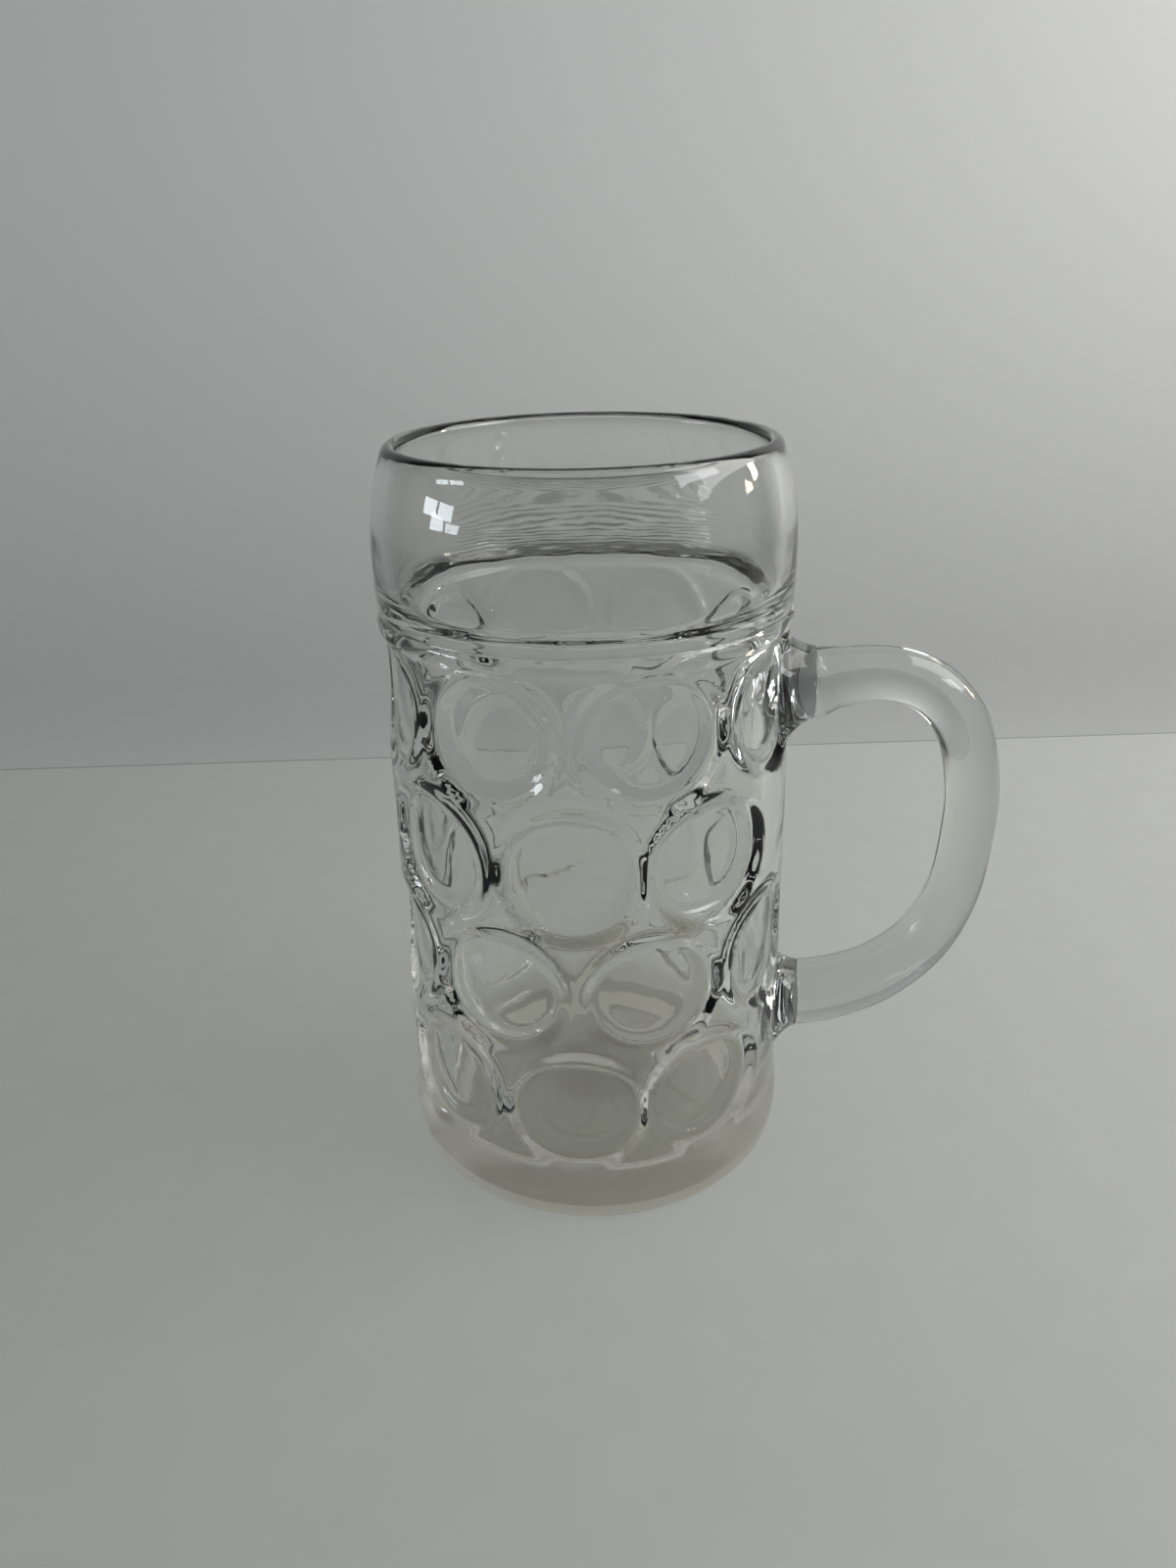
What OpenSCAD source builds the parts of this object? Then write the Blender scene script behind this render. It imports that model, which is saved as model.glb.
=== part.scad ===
// Dimpled glass mug: a thick-walled vessel, a solid loop handle and the two
// round weld pads that hold the handle to the wall.
// Millimetres, +Z up. Origin: on the mug's axis, on the plane it stands on.
// The handle lies in the XZ plane, on the +X side.

/* [Vessel] */
// Height from the standing plane to the top of the lip
mug_h = 200; // [190:1:215]
// Radius of the dimpled wall at its lower end
wall_r_low = 54; // [53:0.5:56]
// Radius of the dimpled wall at its upper end
wall_r_high = 52.8; // [52:0.1:53.5]
// Largest radius of the heel just above the standing plane
heel_r = 54.9; // [54:0.1:56.5]
// Radius of the inside below the collar
bore_r = 46.5; // [45:0.1:47]
// Radius of the inside of the collar
collar_bore_r = 49; // [48:0.1:49.2]
// Largest radius of the collar
collar_r = 53.4; // [52.5:0.1:54.5]
// Radius of the lip's centre line
lip_r = 47.1; // [46:0.1:48]
// Thickness of the rolled lip
lip_t = 4; // [3:0.2:4.6]
// Height of the inside floor above the standing plane
floor_z = 11; // [9:0.5:15]
// Rise of the hollow under the base
kick_h = 3; // [1:0.5:5]

/* [Dimples] */
// Height of the lowest row of dimples
row_z0 = 35.5; // [34.5:0.5:36]
// Distance from one row to the next
row_pitch = 34.4; // [33:0.1:34.6]
// Half width of a dimple along the wall
dimple_a = 17; // [14:0.5:17.5]
// Half height of a dimple
dimple_b = 15.5; // [13:0.5:16]

/* [Handle] */
// Height of the upper weld pad
pad_z_high = 137; // [135:0.5:140]
// Height of the lower weld pad
pad_z_low = 40.5; // [40:0.5:44]
// Radius of a weld pad on the wall
pad_r = 14.5; // [13.5:0.5:15.5]
// Distance from the mug's axis to the plane where the handle meets the pads
handle_x0 = 59.5; // [57.5:0.5:60]
// Distance from the mug's axis to the handle's centre line at its widest
handle_reach = 103.4; // [98:0.2:108]
// Radius of the handle where it is gripped
handle_r = 7.2; // [6.4:0.1:7.8]
// Radius of the handle's flared upper end
handle_r_top = 9.7; // [8.5:0.1:10.5]
// Radius of the handle's lower end
handle_r_low = 9.7; // [8.5:0.1:10.5]

/* [Hidden] */
$fn = 96;
glass = [0.80, 0.86, 0.84, 0.55];
handle_glass = [0.72, 0.82, 0.80, 0.75];
pad_glass = [0.62, 0.75, 0.73, 0.85];

// flat of the wall that a pad is welded to
weld_x = 50.4;
// heights of the collar's parts, counted down from the lip
z_bead = mug_h - 42.6;
z_zone = mug_h - 45;
zone_low = 18;

// depth of a dimple follows from its half width on a wall of this radius
wall_mid = (wall_r_low + wall_r_high) / 2;
dimple_d = dimple_a * dimple_a / (2 * wall_mid);
dimple_tool_r = dimple_b * dimple_b / (2 * dimple_d);

// bearings of the dimples, counted from the handle: the odd rows sit in the
// gaps of the even rows, and the even rows leave the handle's strip plain
odd_row = [for (k = [0:7]) 22.5 + 45 * k];
even_row = [50, 90, 135, 180, 225, 270, 310];

function wall_at(z) = wall_r_low + (wall_r_high - wall_r_low) * (z - zone_low) / (z_zone - zone_low);

// half round of the lip, from the outside over the top to the inside
lip_arc = [for (a = [0:15:180]) [lip_r + lip_t / 2 * cos(a), mug_h - lip_t / 2 + lip_t / 2 * sin(a)]];

outer_profile = concat(
    [[0, kick_h], [14, kick_h * 0.93], [28, kick_h * 0.68], [37, kick_h * 0.36], [39.5, 0.6], [41, 0],
     [50.6, 0], [52.4, 0.6], [53.7, 2], [heel_r - 0.4, 4.4], [heel_r - 0.05, 8], [heel_r, 12],
     [wall_r_low, zone_low],
     [wall_r_high, z_zone],
     [wall_r_high + 0.55, z_bead - 1.4], [wall_r_high + 0.7, z_bead],
     [wall_r_high + 0.4, z_bead + 1.3], [wall_r_high - 0.45, z_bead + 2.4],
     [collar_r - 0.2, z_bead + 3.4], [collar_r, z_bead + 10], [collar_r, mug_h - 26],
     [collar_r - 0.25, mug_h - 20], [collar_r - 0.65, mug_h - 16.5], [collar_r - 1.1, mug_h - 13],
     [collar_r - 1.8, mug_h - 9.7], [collar_r - 2.8, mug_h - 6]],
    lip_arc);

inner_profile = [
    [lip_r - lip_t / 2, mug_h - lip_t / 2], [lip_r - 1.4, mug_h - 5], [collar_bore_r - 1.5, mug_h - 11],
    [collar_bore_r - 0.5, mug_h - 17], [collar_bore_r, mug_h - 22], [collar_bore_r, mug_h - 28],
    [collar_bore_r - 0.5, mug_h - 32.5], [bore_r + 1.1, mug_h - 36], [bore_r + 0.3, mug_h - 38.2], [bore_r, mug_h - 41],
    [bore_r, floor_z + 13], [bore_r - 0.2, floor_z + 7.5], [bore_r - 0.9, floor_z + 4.3], [bore_r - 2.6, floor_z + 1.9],
    [bore_r - 5.2, floor_z + 0.6], [bore_r - 9, floor_z + 0.1], [bore_r - 15, floor_z], [0, floor_z]];

// one dimple's cutter: a lying cylinder, tangent to the wall's bearing
module dimple_cutter(z) {
    translate([wall_at(z) - dimple_d + dimple_tool_r, 0, z])
        rotate([90, 0, 0]) cylinder(h = 2 * dimple_a + 5, r = dimple_tool_r, center = true);
}

module dimple_row(z, bearings) {
    for (b = bearings) rotate([0, 0, b]) dimple_cutter(z);
}

// the land of plain wall that a pad keeps round itself
module pad_land(z) {
    translate([30, 0, z]) rotate([0, 90, 0]) cylinder(h = 40, r = pad_r + 1.5);
}

// a pad's half section: [distance from the mug's axis, radius round the pad's own axis]
module pad_shape(z, r_end) {
    translate([0, 0, z]) rotate([0, 90, 0])
        rotate_extrude()
            polygon([[0, weld_x], [pad_r, weld_x], [pad_r - 0.2, weld_x + 1.4], [pad_r - 1, weld_x + 2.8],
                     [pad_r - 2.4, weld_x + 4.2], [r_end + 1.3, weld_x + 5.6],
                     [r_end + 0.6, handle_x0 - 1.7], [r_end + 0.2, handle_x0 - 0.6], [r_end, handle_x0],
                     [0, handle_x0]]);
}

// handle: centre line through these points, the mug's axis at x = 0
reach = handle_reach;
top_z = pad_z_high;
low_z = pad_z_low;
handle_path = [
    [handle_x0, top_z], [66, top_z + 1.7], [78, top_z + 2.8], [reach - 13.4, top_z - 1.2],
    [reach - 4.6, top_z - 11.5], [reach - 0.5, top_z - 27], [reach - 0.1, top_z - 42],
    [reach - 2.2, low_z + 36], [reach - 8.9, low_z + 20], [83, low_z + 8.5], [70.5, low_z + 2.5], [handle_x0, low_z]];
sides = 24;
steps = 4;

function along(p0, p1, p2, p3, t) =
    0.5 * (2 * p1 + (p2 - p0) * t + (2 * p0 - 5 * p1 + 4 * p2 - p3) * t * t + (3 * p1 - p0 - 3 * p2 + p3) * t * t * t);
last = len(handle_path) - 1;
function knot(i) =
    i < 0 ? 2 * handle_path[0] - handle_path[1] :
    i > last ? 2 * handle_path[last] - handle_path[last - 1] : handle_path[i];
line = concat(
    [for (i = [0:last - 1]) for (s = [0:steps - 1])
        along(knot(i - 1), knot(i), knot(i + 1), knot(i + 2), s / steps)],
    [handle_path[last]]);
rings = len(line);
// radius along the handle, u from 0 at the upper end to 1 at the lower end
function ease(t) = t <= 0 ? 0 : t >= 1 ? 1 : t * t * (3 - 2 * t);
function handle_r_at(u, x) = handle_r + (u < 0.5 ? (handle_r_top - handle_r) * exp(-(x - handle_x0) / 7.2) : 0)
    + (handle_r_low - handle_r) * ease((u - 0.55) / 0.5) / ease(0.9);
// direction of the line; square to the pads at both ends
function heading(i) =
    i == 0 ? [1, 0] : i == rings - 1 ? [-1, 0] :
    (line[i + 1] - line[i - 1]) / norm(line[i + 1] - line[i - 1]);
handle_points = [for (i = [0:rings - 1]) for (j = [0:sides - 1])
    let (t = heading(i), r = handle_r_at(i / (rings - 1), line[i][0]), a = 360 * j / sides)
        [line[i][0] - t[1] * r * cos(a), r * sin(a), line[i][1] + t[0] * r * cos(a)]];
handle_faces = concat(
    [for (i = [0:rings - 2]) for (j = [0:sides - 1]) [i * sides + j, (i + 1) * sides + j, (i + 1) * sides + (j + 1) % sides]],
    [for (i = [0:rings - 2]) for (j = [0:sides - 1]) [i * sides + j, (i + 1) * sides + (j + 1) % sides, i * sides + (j + 1) % sides]],
    [[for (j = [0:sides - 1]) j]],
    [[for (j = [sides - 1:-1:0]) (rings - 1) * sides + j]]);

module mug_body() {
    color(glass)
    difference() {
        rotate_extrude() polygon(concat(outer_profile, inner_profile));
        difference() {
            union() {
                dimple_row(row_z0, even_row);
                dimple_row(row_z0 + row_pitch, odd_row);
                dimple_row(row_z0 + 2 * row_pitch, even_row);
                dimple_row(row_z0 + 3 * row_pitch, odd_row);
            }
            pad_land(pad_z_high);
        }
        pad_shape(pad_z_high, handle_r_top);
        pad_shape(pad_z_low, handle_r_low);
    }
}

module handle() {
    color(handle_glass) polyhedron(points = handle_points, faces = handle_faces, convexity = 6);
}

module upper_handle_pad() {
    color(pad_glass) pad_shape(pad_z_high, handle_r_top);
}

module lower_handle_pad() {
    color(pad_glass) pad_shape(pad_z_low, handle_r_low);
}

mug_body();
handle();
upper_handle_pad();
lower_handle_pad();
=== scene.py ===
import math

import bpy
import numpy as np
from mathutils import Matrix, Vector


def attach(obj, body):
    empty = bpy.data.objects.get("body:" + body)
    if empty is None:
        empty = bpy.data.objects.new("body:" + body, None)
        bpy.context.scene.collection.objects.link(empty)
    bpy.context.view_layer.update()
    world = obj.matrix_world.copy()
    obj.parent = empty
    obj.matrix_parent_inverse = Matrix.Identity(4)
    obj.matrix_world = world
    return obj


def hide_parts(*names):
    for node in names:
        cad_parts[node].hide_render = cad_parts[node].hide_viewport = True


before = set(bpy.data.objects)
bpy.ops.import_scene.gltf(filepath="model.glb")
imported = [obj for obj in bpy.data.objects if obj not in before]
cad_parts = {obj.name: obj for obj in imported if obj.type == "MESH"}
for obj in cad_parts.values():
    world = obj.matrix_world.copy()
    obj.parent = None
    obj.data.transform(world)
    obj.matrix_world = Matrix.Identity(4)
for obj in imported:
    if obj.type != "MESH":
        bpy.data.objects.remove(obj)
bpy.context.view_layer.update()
scene = bpy.context.scene
MM = 0.001

# ---------------------------------------------------------------- camera
# fitted to the picture: 1202 pixels of focal length on a 1600 pixel side
CAM_D, CAM_H, CAM_F = 297.2, 241.1, 1202.0
CAM_PITCH, CAM_ROLL, CAM_YAW = math.radians(24.348), math.radians(-1.315), math.radians(-0.092)
TURN = math.radians(5.5)  # the handle's plane is turned this far from square to the view


def turned(v):
    c, s = math.cos(TURN), math.sin(TURN)
    return Vector((c * v[0] - s * v[1], s * v[0] + c * v[1], v[2]))


cp, sp = math.cos(CAM_PITCH), math.sin(CAM_PITCH)
forward = Vector((math.sin(CAM_YAW) * cp, math.cos(CAM_YAW) * cp, -sp))
right = Vector((math.cos(CAM_YAW), -math.sin(CAM_YAW), 0.0))
above = right.cross(forward)
cr, sr = math.cos(CAM_ROLL), math.sin(CAM_ROLL)
screen_x = turned(right * cr + above * sr)
screen_y = turned(above * cr - right * sr)
back = -turned(forward)
place = turned((0.0, -CAM_D * MM, CAM_H * MM))
cam_data = bpy.data.cameras.new("camera")
cam_data.sensor_width = 36.0
cam_data.sensor_fit = "AUTO"
cam_data.lens = CAM_F / 1600.0 * 36.0
cam_data.clip_start = 0.01
cam_data.clip_end = 30.0
cam = bpy.data.objects.new("camera", cam_data)
scene.collection.objects.link(cam)
cam.matrix_world = Matrix((
    (screen_x.x, screen_y.x, back.x, place.x),
    (screen_x.y, screen_y.y, back.y, place.y),
    (screen_x.z, screen_y.z, back.z, place.z),
    (0, 0, 0, 1)))
scene.camera = cam

# ---------------------------------------------------------------- shape of the glass (millimetres)
ROW_Z = (138.7, 104.3, 69.9, 35.5)
ODD = [22.5 + 45 * k for k in range(8)]
EVEN = [50, 90, 135, 180, 225, 270, 310]
DIMPLE_A, DIMPLE_B = 17.6, 15.8   # half width and half height
DIMPLE_D = 2.0                    # depth outside
BUMP_D = 2.25                     # rise inside
RIPPLE = 0.11                     # half height of the chill ripples
PAD_Z = (137.0, 40.5)
PAD_R = 14.5


def pad_outline(a):
    """Reach of a pad on the wall, a counted from straight up: it sagged a little before it set."""
    return PAD_R - 0.6 - 1.5 * np.cos(a)


HANDLE_X0 = 59.5
HANDLE_R, HANDLE_R_TOP, HANDLE_R_LOW = 7.2, 9.7, 9.7


def smooth_line(points, per):
    """Points along a smooth curve through the given points."""
    p = np.array(points, float)
    p = np.vstack([2 * p[0] - p[1], p, 2 * p[-1] - p[-2]])
    out = []
    for i in range(1, len(p) - 2):
        a, b, c, d = p[i - 1], p[i], p[i + 1], p[i + 2]
        for t in np.linspace(0, 1, per, endpoint=False):
            out.append(0.5 * (2 * b + (c - a) * t + (2 * a - 5 * b + 4 * c - d) * t * t + (3 * b - a - 3 * c + d) * t ** 3))
    out.append(p[-2])
    return np.array(out)


def spaced(line, step):
    """The same line with points a step apart; the step may be a rule of z."""
    dense = np.vstack([line[:-1] + (line[1:] - line[:-1]) * t for t in (0, 0.25, 0.5, 0.75)] ) if callable(step) else None
    if dense is not None:
        k = len(line) - 1
        line = np.vstack([dense.reshape(4, k, 2).transpose(1, 0, 2).reshape(4 * k, 2), line[-1:]])
    seg = np.linalg.norm(np.diff(line, axis=0), axis=1)
    if callable(step):
        mid = (line[1:, 1] + line[:-1, 1]) / 2
        run = np.concatenate([[0], np.cumsum(seg / step(mid))])
        n = int(round(run[-1])) + 1
    else:
        run = np.concatenate([[0], np.cumsum(seg)])
        n = int(round(run[-1] / step)) + 1
    n = max(2, n)
    s = np.linspace(0, run[-1], n)
    return np.column_stack([np.interp(s, run, line[:, k]) for k in range(line.shape[1])])


def dimple_field(theta, z, a, b, reach):
    """Distance from the nearest dimple's middle, 1 at its rim, for every point."""
    best = np.full(np.broadcast(theta, z).shape, 9.0)
    for row, zc in enumerate(ROW_Z):
        for deg in (ODD if row % 2 == 0 else EVEN):
            d = (theta - math.radians(deg) + math.pi) % (2 * math.pi) - math.pi
            s = np.sqrt((d * reach / a) ** 2 + ((z - zc) / b) ** 2)
            best = np.minimum(best, s)
    return best


def dish(s, flat, rim):
    """1 on the flat of a dish, easing to 0 at its rim."""
    t = np.clip((s - flat) / (rim - flat), 0, 1)
    return 1 - t * t * (3 - 2 * t)


def dimple_depth(theta, z):
    s = dimple_field(theta, z, DIMPLE_A, DIMPLE_B, 53.3)
    return DIMPLE_D * dish(s, 0.90, 1.12)


def bump_height(theta, z):
    # the inside follows each dimple, more softly
    s = dimple_field(theta, z, DIMPLE_A, DIMPLE_B, 53.3)
    return BUMP_D * dish(s, 0.80, 1.20)


def ripple_height(theta, z):
    """Chill ripples left on the inside of the collar: long level wavelets about a millimetre apart."""
    rng = np.random.default_rng(21)
    total = np.zeros(np.broadcast(theta, z).shape)
    waves = (1.08, 1.16, 1.25, 1.36, 1.50)
    for wave in waves:
        bend = sum(rng.uniform(0.3, 0.9) * np.sin(m * theta + rng.uniform(0, 6.28)) for m in (5, 8, 13, 21, 30))
        total = total + np.sin(2 * math.pi * z / wave + bend + rng.uniform(0, 6.28))
    total = total / math.sqrt(len(waves))
    low = np.clip((z - 160.0) / 3.0, 0, 1)
    high = np.clip((188.0 - z) / 22.0, 0, 1)
    back = np.clip((49.0 * np.cos(theta - math.radians(95.5)) - 24.0) / 15.0, 0, 1)
    ease = lambda t: t * t * (3 - 2 * t)
    return RIPPLE * total * ease(low) * high * ease(back)


OUT_BASE = [(0.0, 3.0), (14, 2.8), (28, 2.05), (36, 1.15), (39.4, 0.55), (41.2, 0.06)]
OUT_HEEL = [(49.6, 0.0), (51.4, 0.25), (52.9, 1.1), (54.0, 2.8), (54.5, 5.2), (54.75, 8.5), (54.8, 12), (54.6, 16), (54.1, 20.0)]
OUT_WALL = [(54.1, 20.0), (53.8, 40), (53.6, 70), (53.5, 100), (53.2, 130), (52.85, 150), (52.8, 154.2)]
OUT_BEAD = [(52.8, 154.2), (52.95, 155.1), (53.35, 156.0), (53.5, 157.2), (53.35, 158.5), (52.85, 159.5), (52.45, 160.0)]
OUT_COLLAR = [(52.45, 160.0), (52.75, 160.7), (53.15, 161.6), (53.35, 165), (53.4, 170), (53.35, 175), (53.05, 180.5), (52.55, 185), (51.9, 189.2), (51.0, 193), (50.05, 196)]
OUT_LIP = [(50.05, 196), (49.55, 197.4), (48.85, 198.9), (47.95, 199.8), (47.1, 200.0), (46.2, 199.75), (45.5, 199.0), (45.15, 198.0)]
IN_COLLAR = [(45.15, 198.0), (45.3, 196.4), (46.0, 194), (47.1, 190.5), (48.2, 186), (48.9, 181), (49.1, 177), (49.1, 171.5), (48.95, 167.6), (48.6, 165.3), (47.95, 163.7), (47.2, 162.5), (46.7, 161.4), (46.5, 160.0), (46.7, 157), (46.9, 153)]
IN_WALL = [(46.9, 153), (47.0, 130), (47.1, 100), (47.1, 70), (47.0, 45), (46.8, 24)]
IN_FLOOR = [(46.8, 24), (46.8, 18), (46.4, 15.0), (45.1, 12.7), (42.9, 11.3), (40.2, 10.75), (34, 10.6), (24, 10.8), (12, 11.2), (0.0, 11.4)]


def profile():
    """Rows of (radius, z, share of the dimple outside, share of the bump inside, points round)."""
    rows = []

    def add(points, step, out, inn, around, per=12):
        line = spaced(smooth_line(points, per), step)
        if rows:
            line = line[1:]
        for r, z in line:
            rows.append((r, z, out, inn, around))

    fine, coarse = 360, 180
    add(OUT_BASE, 3.6, 0, 0, coarse)
    rows.append((45.0, 0.0, 0, 0, coarse))
    add([(49.0, 0.0)] + OUT_HEEL, 1.5, 1, 0, fine)
    add(OUT_WALL, 1.2, 1, 0, fine)
    add(OUT_BEAD, 0.72, 1, 0, fine)
    add(OUT_COLLAR, 1.5, 0, 0, coarse)
    add(OUT_LIP, 0.8, 0, 0, coarse)
    add(IN_COLLAR, lambda z: np.where((z > 159.5) & (z < 187), 0.26, 1.1), 0, 1, coarse)
    add(IN_WALL, 2.0, 0, 1, coarse)
    add(IN_FLOOR, 1.6, 0, 1, coarse)
    return np.array(rows)


OUTSIDE = np.vstack([smooth_line(part, 12) for part in (OUT_HEEL, OUT_WALL, OUT_BEAD, OUT_COLLAR)])
OUTSIDE = OUTSIDE[np.argsort(OUTSIDE[:, 1])]


def wall_outside(theta, z):
    """Radius of the wall's outer face, dimples and all, for the weld pads."""
    return np.interp(z, OUTSIDE[:, 1], OUTSIDE[:, 0]) - dimple_depth(theta, z)


def wall_x(y, z):
    """Distance out along +X to the wall's outer face at (y, z)."""
    x = np.sqrt(np.maximum(53.0 ** 2 - y ** 2, 1.0))
    for _ in range(12):
        r = wall_outside(np.arctan2(y, x), z)
        x = np.sqrt(np.maximum(r ** 2 - y ** 2, 1.0))
    return x


def link_mesh(name, verts, faces, materials, slots=None, sharp=None):
    mesh = bpy.data.meshes.new(name)
    verts = np.asarray(verts) * MM
    sizes = np.concatenate([np.full(len(f), f.shape[1]) for f in faces])
    corners = np.concatenate([f.ravel() for f in faces]).astype(np.int32)
    mesh.vertices.add(len(verts))
    mesh.vertices.foreach_set("co", verts.ravel())
    mesh.loops.add(len(corners))
    mesh.loops.foreach_set("vertex_index", corners)
    mesh.polygons.add(len(sizes))
    mesh.polygons.foreach_set("loop_start", np.concatenate([[0], np.cumsum(sizes)[:-1]]).astype(np.int32))
    mesh.update(calc_edges=True)
    for m in materials:
        mesh.materials.append(m)
    mesh.polygons.foreach_set("use_smooth", [True] * len(mesh.polygons))
    if slots is not None:
        mesh.polygons.foreach_set("material_index", np.concatenate([np.asarray(t) for t in slots]).astype(np.int32))
    mesh.update()
    if sharp is not None:
        mesh.set_sharp_from_angle(angle=math.radians(sharp))
    obj = bpy.data.objects.new(name, mesh)
    scene.collection.objects.link(obj)
    return obj


def band(a, b, n):
    """Faces between two rings of n points that start at a and b."""
    j = np.arange(n)
    k = (j + 1) % n
    return np.column_stack([a + j, a + k, b + k, b + j])


def halving(a, b, n):
    """Faces between a ring of n points at a and a ring of half as many at b."""
    j = np.arange(n // 2)
    k = (j + 1) % (n // 2)
    e, o, f = a + 2 * j, a + 2 * j + 1, a + (2 * j + 2) % n
    return np.vstack([np.column_stack([e, o, b + j]), np.column_stack([o, b + k, b + j]), np.column_stack([o, f, b + k])])


def fan(c, a, n):
    """Faces from a ring of n points at a to a middle point c."""
    j = np.arange(n)
    return np.column_stack([a + j, a + (j + 1) % n, np.full(n, c)])


# ---------------------------------------------------------------- materials
def new_material(name):
    m = bpy.data.materials.new(name)
    m.use_nodes = True
    m.node_tree.nodes.clear()
    return m, m.node_tree.nodes, m.node_tree.links


def glass(name, tint, ripple, smudge, shade, painted_shade):
    """Clear pressed glass: slow waves from the mould and faint wipe marks; on the body, painted shade in the chill
    ripples, along the ledge inside the collar and round the inside floor.
    """
    m, nodes, links = new_material(name)
    out = nodes.new("ShaderNodeOutputMaterial")
    p = nodes.new("ShaderNodeBsdfPrincipled")
    # lamps and bounced light go straight through, a little dimmed at each face, so the shadow stays thin
    path = nodes.new("ShaderNodeLightPath")
    clear = nodes.new("ShaderNodeBsdfTransparent")
    clear.inputs["Color"].default_value = (*shade, 1)
    shader = p.outputs[0]
    for ray in ("Is Shadow Ray", "Is Diffuse Ray"):
        pick = nodes.new("ShaderNodeMixShader")
        links.new(path.outputs[ray], pick.inputs[0])
        links.new(shader, pick.inputs[1])
        links.new(clear.outputs[0], pick.inputs[2])
        shader = pick.outputs[0]
    links.new(shader, out.inputs["Surface"])
    p.inputs["IOR"].default_value = 1.5
    p.inputs["Transmission Weight"].default_value = 1.0
    where = nodes.new("ShaderNodeTexCoord")
    apart = nodes.new("ShaderNodeSeparateXYZ")
    links.new(where.outputs["Object"], apart.inputs[0])

    # tint: the thick base is a little warmer and darker than the wall
    low = nodes.new("ShaderNodeMapRange")
    low.interpolation_type = "SMOOTHSTEP"
    low.inputs["From Min"].default_value = 0.026
    low.inputs["From Max"].default_value = 0.010
    links.new(apart.outputs["Z"], low.inputs["Value"])
    hue = nodes.new("ShaderNodeMix")
    hue.data_type = "RGBA"
    hue.inputs["A"].default_value = (*tint[0], 1)
    hue.inputs["B"].default_value = (*tint[1], 1)
    links.new(low.outputs[0], hue.inputs["Factor"])
    tone = hue.outputs["Result"]

    # distance from the axis
    flat = nodes.new("ShaderNodeVectorMath")
    flat.operation = "MULTIPLY"
    flat.inputs[1].default_value = (1.0, 1.0, 0.0)
    links.new(where.outputs["Object"], flat.inputs[0])
    away = nodes.new("ShaderNodeVectorMath")
    away.operation = "LENGTH"
    links.new(flat.outputs[0], away.inputs[0])

    def ramp(source, low_end, high_end):
        r = nodes.new("ShaderNodeMapRange")
        r.interpolation_type = "SMOOTHSTEP"
        r.inputs["From Min"].default_value = low_end
        r.inputs["From Max"].default_value = high_end
        links.new(source, r.inputs["Value"])
        return r.outputs[0]

    def times(*sources):
        last = sources[0]
        for source in sources[1:]:
            t = nodes.new("ShaderNodeMath")
            t.operation = "MULTIPLY"
            links.new(last, t.inputs[0])
            links.new(source, t.inputs[1])
            last = t.outputs[0]
        return last

    if painted_shade:
        # painted shade: dark grey streaks in the chill ripples and a dark line along the ledge inside the collar, on
        # its back half
        squash = nodes.new("ShaderNodeVectorMath")
        squash.operation = "MULTIPLY"
        squash.inputs[1].default_value = (110.0, 110.0, 1500.0)
        links.new(where.outputs["Object"], squash.inputs[0])
        streak = nodes.new("ShaderNodeTexNoise")
        streak.inputs["Scale"].default_value = 1.0
        streak.inputs["Detail"].default_value = 1.5
        streak.inputs["Roughness"].default_value = 0.5
        links.new(squash.outputs[0], streak.inputs["Vector"])
        level = nodes.new("ShaderNodeVectorMath")
        level.operation = "MULTIPLY"
        level.inputs[1].default_value = (85.0, 85.0, 240.0)
        links.new(where.outputs["Object"], level.inputs[0])
        lines = nodes.new("ShaderNodeTexWave")
        lines.wave_type = "BANDS"
        lines.bands_direction = "Z"
        lines.inputs["Scale"].default_value = 1.0
        lines.inputs["Distortion"].default_value = 3.4
        lines.inputs["Detail"].default_value = 2.0
        lines.inputs["Detail Scale"].default_value = 1.3
        links.new(level.outputs[0], lines.inputs["Vector"])
        side = nodes.new("ShaderNodeVectorMath")
        side.operation = "DOT_PRODUCT"
        side.inputs[1].default_value = (-0.10, 0.995, 0.0)
        links.new(where.outputs["Object"], side.inputs[0])
        bore = ramp(away.outputs["Value"], 0.0497, 0.0494)
        z = apart.outputs["Z"]
        # the plain collar has a tone of its own
        upper = nodes.new("ShaderNodeMix")
        upper.data_type = "RGBA"
        upper.inputs["B"].default_value = (0.93, 0.935, 0.92, 1)
        links.new(ramp(z, 0.156, 0.168), upper.inputs["Factor"])
        links.new(tone, upper.inputs["A"])
        tone = upper.outputs["Result"]
        ripple_shade = times(ramp(lines.outputs["Fac"], 0.25, 0.80), ramp(streak.outputs["Fac"], 0.24, 0.56), bore, ramp(z, 0.1605, 0.1625), ramp(z, 0.190, 0.166),
                     ramp(side.outputs["Value"], 0.027, 0.045))
        grey = nodes.new("ShaderNodeMix")
        grey.data_type = "RGBA"
        grey.inputs["B"].default_value = (0.12, 0.12, 0.115, 1)
        links.new(ripple_shade, grey.inputs["Factor"])
        links.new(tone, grey.inputs["A"])
        ledge = times(bore, ramp(z, 0.1600, 0.1607), ramp(z, 0.1660, 0.1632), ramp(side.outputs["Value"], -0.012, 0.012),
                      ramp(streak.outputs["Fac"], 0.20, 0.48))
        line = nodes.new("ShaderNodeMix")
        line.data_type = "RGBA"
        line.inputs["B"].default_value = (0.13, 0.13, 0.125, 1)
        links.new(ledge, line.inputs["Factor"])
        links.new(grey.outputs["Result"], line.inputs["A"])
        # painted shade also as a darker ring in the corner round the inside floor
        corner_shade = times(bore, ramp(z, 0.0109, 0.0113), ramp(z, 0.0133, 0.0127))
        round_floor = nodes.new("ShaderNodeMix")
        round_floor.data_type = "RGBA"
        round_floor.inputs["B"].default_value = (0.45, 0.44, 0.41, 1)
        links.new(corner_shade, round_floor.inputs["Factor"])
        links.new(line.outputs["Result"], round_floor.inputs["A"])
        tone = round_floor.outputs["Result"]
    links.new(tone, p.inputs["Base Color"])

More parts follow.
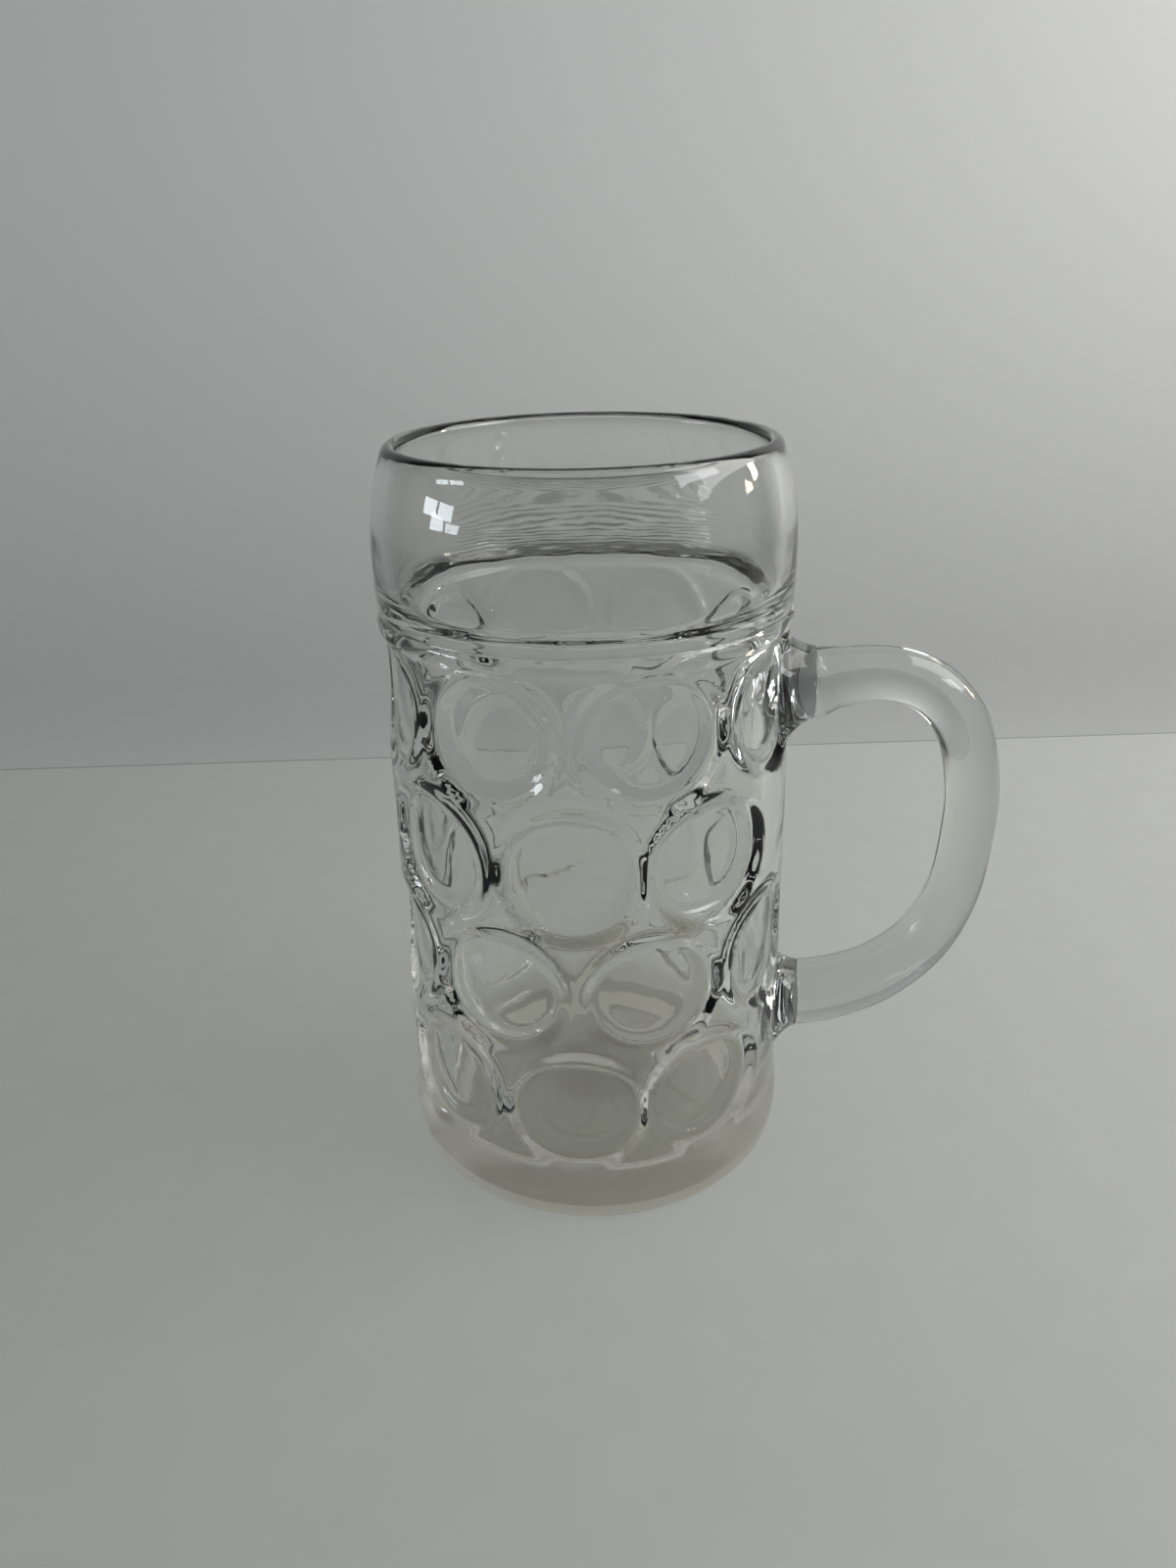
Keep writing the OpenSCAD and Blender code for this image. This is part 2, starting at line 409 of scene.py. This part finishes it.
    # wipe marks and dust: patches of very slightly duller surface
    patch = nodes.new("ShaderNodeTexNoise")
    patch.inputs["Scale"].default_value = 55.0
    patch.inputs["Detail"].default_value = 4.0
    patch.inputs["Roughness"].default_value = 0.6
    links.new(where.outputs["Object"], patch.inputs["Vector"])
    dull = nodes.new("ShaderNodeMapRange")
    dull.inputs["From Min"].default_value = 0.45
    dull.inputs["From Max"].default_value = 0.75
    dull.inputs["To Min"].default_value = smudge[0]
    dull.inputs["To Max"].default_value = smudge[1]
    links.new(patch.outputs["Fac"], dull.inputs["Value"])

    links.new(dull.outputs[0], p.inputs["Roughness"])

    # slow waves all over
    slow = nodes.new("ShaderNodeTexNoise")
    slow.inputs["Scale"].default_value = 70.0
    slow.inputs["Detail"].default_value = 2.0
    slow.inputs["Roughness"].default_value = 0.45
    links.new(where.outputs["Object"], slow.inputs["Vector"])
    wave = nodes.new("ShaderNodeBump")
    wave.inputs["Strength"].default_value = 1.0
    wave.inputs["Distance"].default_value = ripple * MM
    links.new(slow.outputs["Fac"], wave.inputs["Height"])
    links.new(wave.outputs[0], p.inputs["Normal"])
    return m


body_glass = glass("body_glass", ((0.915, 0.925, 0.91), (0.72, 0.71, 0.645)), 0.10, (0.0, 0.02), (0.93, 0.935, 0.93), True)
handle_glass = glass("handle_glass", ((0.84, 0.85, 0.84), (0.84, 0.85, 0.84)), 0.05, (0.03, 0.07), (0.90, 0.905, 0.90), False)
# painted shade: the pads' glass is tinted dark grey for the dark the pads show
pad_glass = glass("pad_glass", ((0.40, 0.41, 0.41), (0.40, 0.41, 0.41)), 0.06, (0.01, 0.04), (0.88, 0.885, 0.88), False)


def stippled(name, through, rough_from, rough_to, deep):
    """The dull underside: fine stipple from the mould and from standing on tables."""
    m, nodes, links = new_material(name)
    out = nodes.new("ShaderNodeOutputMaterial")
    p = nodes.new("ShaderNodeBsdfPrincipled")
    p.inputs["IOR"].default_value = 1.5
    p.inputs["Transmission Weight"].default_value = through
    path = nodes.new("ShaderNodeLightPath")
    clear = nodes.new("ShaderNodeBsdfTransparent")
    clear.inputs["Color"].default_value = (0.88, 0.885, 0.87, 1)
    shader = p.outputs[0]
    for ray in ("Is Shadow Ray", "Is Diffuse Ray"):
        pick = nodes.new("ShaderNodeMixShader")
        links.new(path.outputs[ray], pick.inputs[0])
        links.new(shader, pick.inputs[1])
        links.new(clear.outputs[0], pick.inputs[2])
        shader = pick.outputs[0]
    links.new(shader, out.inputs["Surface"])
    where = nodes.new("ShaderNodeTexCoord")
    flat = nodes.new("ShaderNodeVectorMath")
    flat.operation = "MULTIPLY"
    flat.inputs[1].default_value = (1.0, 1.0, 0.0)
    links.new(where.outputs["Object"], flat.inputs[0])
    away = nodes.new("ShaderNodeVectorMath")
    away.operation = "LENGTH"
    links.new(flat.outputs[0], away.inputs[0])
    # the worn outer edge of the standing ring is paler than the rest
    ring = nodes.new("ShaderNodeMapRange")
    ring.interpolation_type = "SMOOTHSTEP"
    ring.inputs["From Min"].default_value = 0.0390
    ring.inputs["From Max"].default_value = 0.0425
    links.new(away.outputs["Value"], ring.inputs["Value"])
    pale = nodes.new("ShaderNodeMix")
    pale.data_type = "RGBA"
    pale.inputs["A"].default_value = (0.58, 0.565, 0.50, 1)
    pale.inputs["B"].default_value = (0.76, 0.745, 0.68, 1)
    links.new(ring.outputs[0], pale.inputs["Factor"])
    grain = nodes.new("ShaderNodeTexNoise")
    grain.inputs["Scale"].default_value = 900.0
    grain.inputs["Detail"].default_value = 3.0
    links.new(where.outputs["Object"], grain.inputs["Vector"])
    worn = nodes.new("ShaderNodeMix")
    worn.data_type = "RGBA"
    worn.blend_type = "MULTIPLY"
    worn.inputs["B"].default_value = (0.78, 0.78, 0.77, 1)
    links.new(grain.outputs["Fac"], worn.inputs["Factor"])
    links.new(pale.outputs["Result"], worn.inputs["A"])
    links.new(worn.outputs["Result"], p.inputs["Base Color"])
    rough = nodes.new("ShaderNodeMapRange")
    rough.inputs["To Min"].default_value = rough_from
    rough.inputs["To Max"].default_value = rough_to
    links.new(grain.outputs["Fac"], rough.inputs["Value"])
    links.new(rough.outputs[0], p.inputs["Roughness"])
    dots = nodes.new("ShaderNodeBump")
    dots.inputs["Strength"].default_value = 0.6
    dots.inputs["Distance"].default_value = deep * MM
    links.new(grain.outputs["Fac"], dots.inputs["Height"])
    links.new(dots.outputs[0], p.inputs["Normal"])
    return m


base_glass = stippled("base_glass", 0.45, 0.20, 0.45, 0.15)
hollow_glass = stippled("hollow_glass", 0.62, 0.06, 0.16, 0.05)

# where two pieces are fused, the glass runs on without a face
weld, wn, wl = new_material("weld")
wo = wn.new("ShaderNodeOutputMaterial")
wp = wn.new("ShaderNodeBsdfPrincipled")
wp.inputs["Alpha"].default_value = 0.0
wl.new(wp.outputs[0], wo.inputs["Surface"])


# ---------------------------------------------------------------- vessel
def make_vessel():
    rows = profile()
    rings = rows[rows[:, 0] > 1e-6]
    verts, start = [np.array([[0.0, 0.0, rows[0, 1]]])], []
    count = 1
    reach = [np.array([99.0])]
    for r, z, out, inn, n in rings:
        n = int(n)
        theta = np.arange(n) * 2 * math.pi / n
        rr = np.full(n, r)
        if out:
            rr = rr - dimple_depth(theta, np.full(n, z))
        if inn:
            rr = rr - bump_height(theta, np.full(n, z)) + ripple_height(theta, np.full(n, z))
        v = np.column_stack([rr * np.cos(theta), rr * np.sin(theta), np.full(n, z)])
        near = np.full(n, 99.0)
        if out:
            for zc in PAD_Z:
                inside = np.hypot(v[:, 1], v[:, 2] - zc) - pad_outline(np.arctan2(v[:, 1], v[:, 2] - zc))
                near = np.minimum(near, np.where(v[:, 0] > 0, inside, 99.0))
        start.append(count)
        verts.append(v)
        reach.append(near)
        count += n
    verts.append(np.array([[0.0, 0.0, rows[-1, 1]]]))
    reach.append(np.array([99.0]))
    verts, reach = np.vstack(verts), np.concatenate(reach)
    faces = [fan(0, start[0], int(rings[0, 4]))[:, ::-1]]
    for i in range(len(rings) - 1):
        n, m = int(rings[i, 4]), int(rings[i + 1, 4])
        if n == m:
            faces.append(band(start[i], start[i + 1], n))
        elif n > m:
            faces.append(halving(start[i], start[i + 1], n))
        else:
            faces.append(halving(start[i + 1], start[i], m)[:, ::-1])
    faces.append(fan(count, start[-1], int(rings[-1, 4])))
    # the two round patches that the weld pads cover
    slots = [(reach[f].max(axis=1) < -0.12).astype(int) for f in faces]
    # the hollow underneath and the ring round it that it stands on
    under = (verts[:, 2] < 3.2) & (np.hypot(verts[:, 0], verts[:, 1]) < 41.3)
    ring = (verts[:, 2] < 0.7) & (np.hypot(verts[:, 0], verts[:, 1]) < 51.6)
    for slot, part in ((3, under), (2, ring)):
        slots = [np.where(part[f].all(axis=1), slot, t) for f, t in zip(faces, slots)]
    return link_mesh("mug_body_glass", verts, faces, [body_glass, weld, base_glass, hollow_glass], slots)


# ---------------------------------------------------------------- handle
def handle_radius(u, x):
    ease = np.clip((u - 0.55) / 0.5, 0, 1)
    taper = math.exp(-(x - HANDLE_X0) / 7.2) if u < 0.5 else 0.0
    return (HANDLE_R + (HANDLE_R_TOP - HANDLE_R) * taper
            + (HANDLE_R_LOW - HANDLE_R) * (ease ** 2 * (3 - 2 * ease)) / 0.972)


HANDLE_PATH = [(59.5, 137), (66, 138.7), (78, 139.8), (90, 135.8), (98.8, 125.5), (102.9, 110), (103.3, 95),
               (101.2, 76.5), (94.5, 60.5), (83, 49), (70.5, 43), (59.5, 40.5)]


def make_handle():
    line = smooth_line(HANDLE_PATH, 14)
    n, sides = len(line), 96
    tangent = np.gradient(line, axis=0)
    tangent /= np.linalg.norm(tangent, axis=1)[:, None]
    # square to the pads at both ends, easing into the curve
    for i in range(n):
        for end, to in ((i, np.array([1.0, 0.0])), (n - 1 - i, np.array([-1.0, 0.0]))):
            w = max(0.0, 1 - end / 7.0) ** 2
            tangent[i] = tangent[i] * (1 - w) + to * w
    tangent /= np.linalg.norm(tangent, axis=1)[:, None]
    a = np.arange(sides) * 2 * math.pi / sides
    verts = []
    for i in range(n):
        r = handle_radius(i / (n - 1), line[i][0])
        # a faint mould seam along the inner and outer edge
        seam = 0.10 * np.exp(-((np.sin(a) * r) / 0.55) ** 2)
        rr = r - 0.12 + seam
        # rounded rim where the end meets its pad
        end = min(i, n - 1 - i)
        if end == 0:
            rr = rr - 0.2
        nx, nz = -tangent[i][1], tangent[i][0]
        verts.append(np.column_stack([line[i][0] + nx * rr * np.cos(a), rr * np.sin(a), line[i][1] + nz * rr * np.cos(a)]))
    gap = 0.02
    verts = np.vstack(verts + [np.array([[HANDLE_X0 + gap, 0.0, line[0][1]], [HANDLE_X0 + gap, 0.0, line[-1][1]]])])
    verts[:, 0] = np.maximum(verts[:, 0], HANDLE_X0 + gap)
    faces = [band((i + 1) * sides, i * sides, sides) for i in range(n - 1)]
    slots = [np.zeros(sides, int)] * (n - 1) + [np.ones(sides, int)] * 2
    faces += [fan(n * sides, 0, sides), fan(n * sides + 1, (n - 1) * sides, sides)[:, ::-1]]
    return link_mesh("handle_glass_loop", verts, faces, [handle_glass, weld], slots, sharp=50)


# ---------------------------------------------------------------- weld pads
def make_pad(name, zc, r_end, seed):
    sides = 128
    a = np.arange(sides) * 2 * math.pi / sides
    rng = np.random.default_rng(seed)
    wobble = sum(rng.normal(0, 0.16) * np.cos(k * a + rng.uniform(0, 6.28)) for k in (2, 3, 4, 5))
    outline = pad_outline(a)
    rim = r_end + 0.05 + 0.10 * wobble
    gap = 0.03
    flare = []
    for t in np.linspace(0, 1, 34):
        # from the outline on the wall, up a hollow cone, to the rim under the handle
        q = rim + (outline - rim) * (1 - t) ** 1.45
        y, z = q * np.sin(a), q * np.cos(a)
        foot = wall_x(y, zc + z) + gap
        flare.append(np.column_stack([foot + (HANDLE_X0 - 0.3 - foot) * t ** 1.15, y, zc + z]))
    for dx, dq in ((0.12, -0.05), (0.22, -0.14), (0.28, -0.26), (0.3, -0.42)):
        q = rim + dq
        flare.append(np.column_stack([np.full(sides, HANDLE_X0 - 0.3 + dx), q * np.sin(a), zc + q * np.cos(a)]))
    front = len(flare)
    for s in (0.8, 0.5, 0.2):
        q = (rim - 0.42) * s
        flare.append(np.column_stack([np.full(sides, HANDLE_X0), q * np.sin(a), zc + q * np.cos(a)]))
    behind = []
    for s in (0.2, 0.35, 0.5, 0.62, 0.74, 0.84, 0.92, 0.97):
        q = outline * s
        y, z = q * np.sin(a), q * np.cos(a)
        behind.append(np.column_stack([wall_x(y, zc + z) + gap, y, zc + z]))
    rings = behind + flare
    nb = len(behind)
    middle = np.array([[float(wall_x(np.array([0.0]), np.array([zc]))[0]) + gap, 0.0, zc], [HANDLE_X0, 0.0, zc]])
    verts = np.vstack(rings + [middle])
    faces = [band((i + 1) * sides, i * sides, sides) for i in range(len(rings) - 1)]
    slots = [np.full(sides, 0 if nb <= i < nb + front - 1 else 1) for i in range(len(rings) - 1)]
    last = len(rings) * sides
    faces += [fan(last, 0, sides), fan(last + 1, last - sides, sides)[:, ::-1]]
    slots += [np.ones(sides, int)] * 2
    return link_mesh(name, verts, faces, [pad_glass, weld], slots, sharp=40)


pieces = [
    (make_vessel(), "mug_body", "body_glass"),
    (make_handle(), "handle", "handle_glass"),
    (make_pad("upper_pad_glass", PAD_Z[0], HANDLE_R_TOP, 3), "upper_handle_pad", "handle_glass"),
    (make_pad("lower_pad_glass", PAD_Z[1], HANDLE_R_LOW, 8), "lower_handle_pad", "handle_glass"),
]
for piece, node, slot in pieces:
    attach(piece, "root")
    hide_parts(node)


# ---------------------------------------------------------------- stage
def stage_material(name, colour, rough, scale, depth, fade_from, fade_to, upper=None):
    m, nodes, links = new_material(name)
    out = nodes.new("ShaderNodeOutputMaterial")
    p = nodes.new("ShaderNodeBsdfPrincipled")
    p.inputs["Roughness"].default_value = rough
    p.inputs["Specular IOR Level"].default_value = 0.25
    links.new(p.outputs[0], out.inputs["Surface"])
    where = nodes.new("ShaderNodeTexCoord")
    noise = nodes.new("ShaderNodeTexNoise")
    noise.inputs["Scale"].default_value = scale
    noise.inputs["Detail"].default_value = 5.0
    links.new(where.outputs["Object"], noise.inputs["Vector"])
    mix = nodes.new("ShaderNodeMix")
    mix.data_type = "RGBA"
    mix.inputs["A"].default_value = (*[c * (1 - depth) for c in colour], 1)
    mix.inputs["B"].default_value = (*[min(1, c * (1 + depth)) for c in colour], 1)
    links.new(noise.outputs["Fac"], mix.inputs["Factor"])
    tone = mix.outputs["Result"]
    if upper is not None:
        # painted shade: darker towards the bottom near the table, paler towards the top
        apart = nodes.new("ShaderNodeSeparateXYZ")
        links.new(where.outputs["Object"], apart.inputs[0])
        rise = nodes.new("ShaderNodeMapRange")
        rise.interpolation_type = "SMOOTHSTEP"
        rise.inputs["From Min"].default_value = -0.06
        rise.inputs["From Max"].default_value = 0.34
        links.new(apart.outputs["Z"], rise.inputs["Value"])
        lift = nodes.new("ShaderNodeMix")
        lift.data_type = "RGBA"
        lift.inputs["B"].default_value = (*upper, 1)
        links.new(rise.outputs[0], lift.inputs["Factor"])
        links.new(tone, lift.inputs["A"])
        tone = lift.outputs["Result"]
    # painted pool of light: pale round and behind the mug, with painted shade darkening the stage further away
    middle = nodes.new("ShaderNodeVectorMath")
    middle.operation = "SUBTRACT"
    middle.inputs[1].default_value = (0.03, 0.14, 0.0)
    links.new(where.outputs["Object"], middle.inputs[0])
    far = nodes.new("ShaderNodeVectorMath")
    far.operation = "LENGTH"
    links.new(middle.outputs[0], far.inputs[0])
    light_pool = nodes.new("ShaderNodeMapRange")
    light_pool.interpolation_type = "SMOOTHSTEP"
    light_pool.inputs["From Min"].default_value = fade_from
    light_pool.inputs["From Max"].default_value = fade_to
    links.new(far.outputs["Value"], light_pool.inputs["Value"])
    fade = nodes.new("ShaderNodeMix")
    fade.data_type = "RGBA"
    fade.inputs["B"].default_value = (*[c * 0.22 for c in colour], 1)
    links.new(light_pool.outputs[0], fade.inputs["Factor"])
    links.new(tone, fade.inputs["A"])
    links.new(fade.outputs["Result"], p.inputs["Base Color"])
    return m


WALL_TURN = math.radians(6.85)
wall_at = Vector((-0.0274, 0.2805, 0.0))
along = Vector((math.cos(WALL_TURN), math.sin(WALL_TURN), 0))
inward = Vector((math.sin(WALL_TURN), -math.cos(WALL_TURN), 0))


def sheet(name, rows, material):
    """A stage surface through rows of points, each row with the same number of points."""
    n = len(rows[0])
    mesh = bpy.data.meshes.new(name)
    mesh.from_pydata([tuple(c) for row in rows for c in row], [],
                     [(i * n + j, i * n + j + 1, (i + 1) * n + j + 1, (i + 1) * n + j) for i in range(len(rows) - 1) for j in range(n - 1)])
    mesh.materials.append(material)
    mesh.polygons.foreach_set("use_smooth", [True] * len(mesh.polygons))
    obj = bpy.data.objects.new(name, mesh)
    scene.collection.objects.link(obj)
    return obj


floor_mat = stage_material("floor_pale", (0.57, 0.58, 0.555), 0.55, 60.0, 0.03, 0.36, 0.66)
wall_mat = stage_material("backdrop_grey", (0.67, 0.675, 0.67), 0.9, 120.0, 0.03, 0.60, 0.95, (0.86, 0.865, 0.865))
# painted shade: the table's back edge is dark grey for the shaded line where the table meets the wall
edge_shade_mat = stage_material("edge_painted_shade", (0.26, 0.26, 0.25), 0.6, 90.0, 0.05, 0.60, 0.95)
A, B = wall_at - along * 2.2, wall_at + along * 2.2
edge = [(0.004, -0.0004), (0.0025, -0.0006), (0.0012, -0.0014), (0.0003, -0.0028), (0.0, -0.005), (0.0, -0.022)]
sheet("floor", [[P + inward * d + Vector((0, 0, -0.0004)) for P in (A, B)] for d in (3.2, 0.004)], floor_mat)
sheet("floor_edge", [[P + inward * d + Vector((0, 0, h)) for P in (A, B)] for d, h in edge], edge_shade_mat)
sheet("floor_behind", [[P - inward * d + Vector((0, 0, h)) for P in (A, B)] for d, h in ((0.001, -0.023), (0.001, -0.054), (0.12, -0.054))], wall_mat)
sheet("backdrop", [[P - inward * 0.12 + Vector((0, 0, h)) for P in (A, B)] for h in (-0.9, 2.4)], wall_mat)

# ---------------------------------------------------------------- light
def panel(name, bearing, rise, dist, wide, high, power, colour, aside=0.0):
    """A soft panel that looks at the mug: bearing from -Y towards +X, rise above level."""
    b, e = math.radians(bearing), math.radians(rise)
    at = Vector((dist * math.cos(e) * math.sin(b), -dist * math.cos(e) * math.cos(b), 0.11 + dist * math.sin(e)))
    light = bpy.data.lights.new(name, "AREA")
    light.shape = "RECTANGLE"
    light.size, light.size_y = wide, high
    light.energy = power
    light.color = colour
    obj = bpy.data.objects.new(name, light)
    scene.collection.objects.link(obj)
    look = (Vector((0, 0, 0.11)) - at).normalized()
    rot = look.to_track_quat("-Z", "Y")
    obj.rotation_mode = "QUATERNION"
    obj.rotation_quaternion = rot
    obj.location = at + rot @ Vector((aside, 0, 0))
    return obj


panel("left_window_a", -75, 10.5, 1.6, 0.25, 0.20, 1.8, (0.86, 0.94, 1.0), -0.145)
panel("left_window_b", -75, 10.5, 1.6, 0.25, 0.20, 1.8, (0.86, 0.94, 1.0), 0.145)
panel("right_window", 72.5, 29, 1.5, 0.66, 0.24, 2.8, (0.90, 0.96, 1.0))
panel("side_glow", 110, 17, 1.4, 0.12, 0.20, 1.6, (1.0, 0.88, 0.70))
panel("side_softbox", 94, 40, 0.85, 0.62, 0.55, 4.0, (1.0, 0.99, 0.97))

world = bpy.data.worlds.new("room")
scene.world = world
world.use_nodes = True
wn, wl = world.node_tree.nodes, world.node_tree.links
wn.clear()
w_out = wn.new("ShaderNodeOutputWorld")
w_bg = wn.new("ShaderNodeBackground")
w_tc = wn.new("ShaderNodeTexCoord")
w_dot = wn.new("ShaderNodeVectorMath")
w_dot.operation = "DOT_PRODUCT"
w_dot.inputs[1].default_value = (0.50, 0.05, 0.86)
w_map = wn.new("ShaderNodeMapRange")
w_map.interpolation_type = "SMOOTHSTEP"
w_map.inputs["From Min"].default_value = -0.4
w_map.inputs["From Max"].default_value = 0.95
w_mix = wn.new("ShaderNodeMix")
w_mix.data_type = "RGBA"
w_mix.inputs["A"].default_value = (0.07, 0.07, 0.068, 1)
w_mix.inputs["B"].default_value = (0.25, 0.25, 0.247, 1)
wl.new(w_tc.outputs["Generated"], w_dot.inputs[0])
wl.new(w_dot.outputs["Value"], w_map.inputs["Value"])
wl.new(w_map.outputs[0], w_mix.inputs["Factor"])
wl.new(w_mix.outputs["Result"], w_bg.inputs["Color"])
wl.new(w_bg.outputs[0], w_out.inputs["Surface"])

scene.view_settings.view_transform = "Standard"
scene.view_settings.exposure = 0.0
scene.cycles.max_bounces = 24
scene.cycles.transmission_bounces = 24
# long ways inside the glass end dark, as they do in thick real glass
scene.cycles.glossy_bounces = 5
scene.cycles.diffuse_bounces = 4
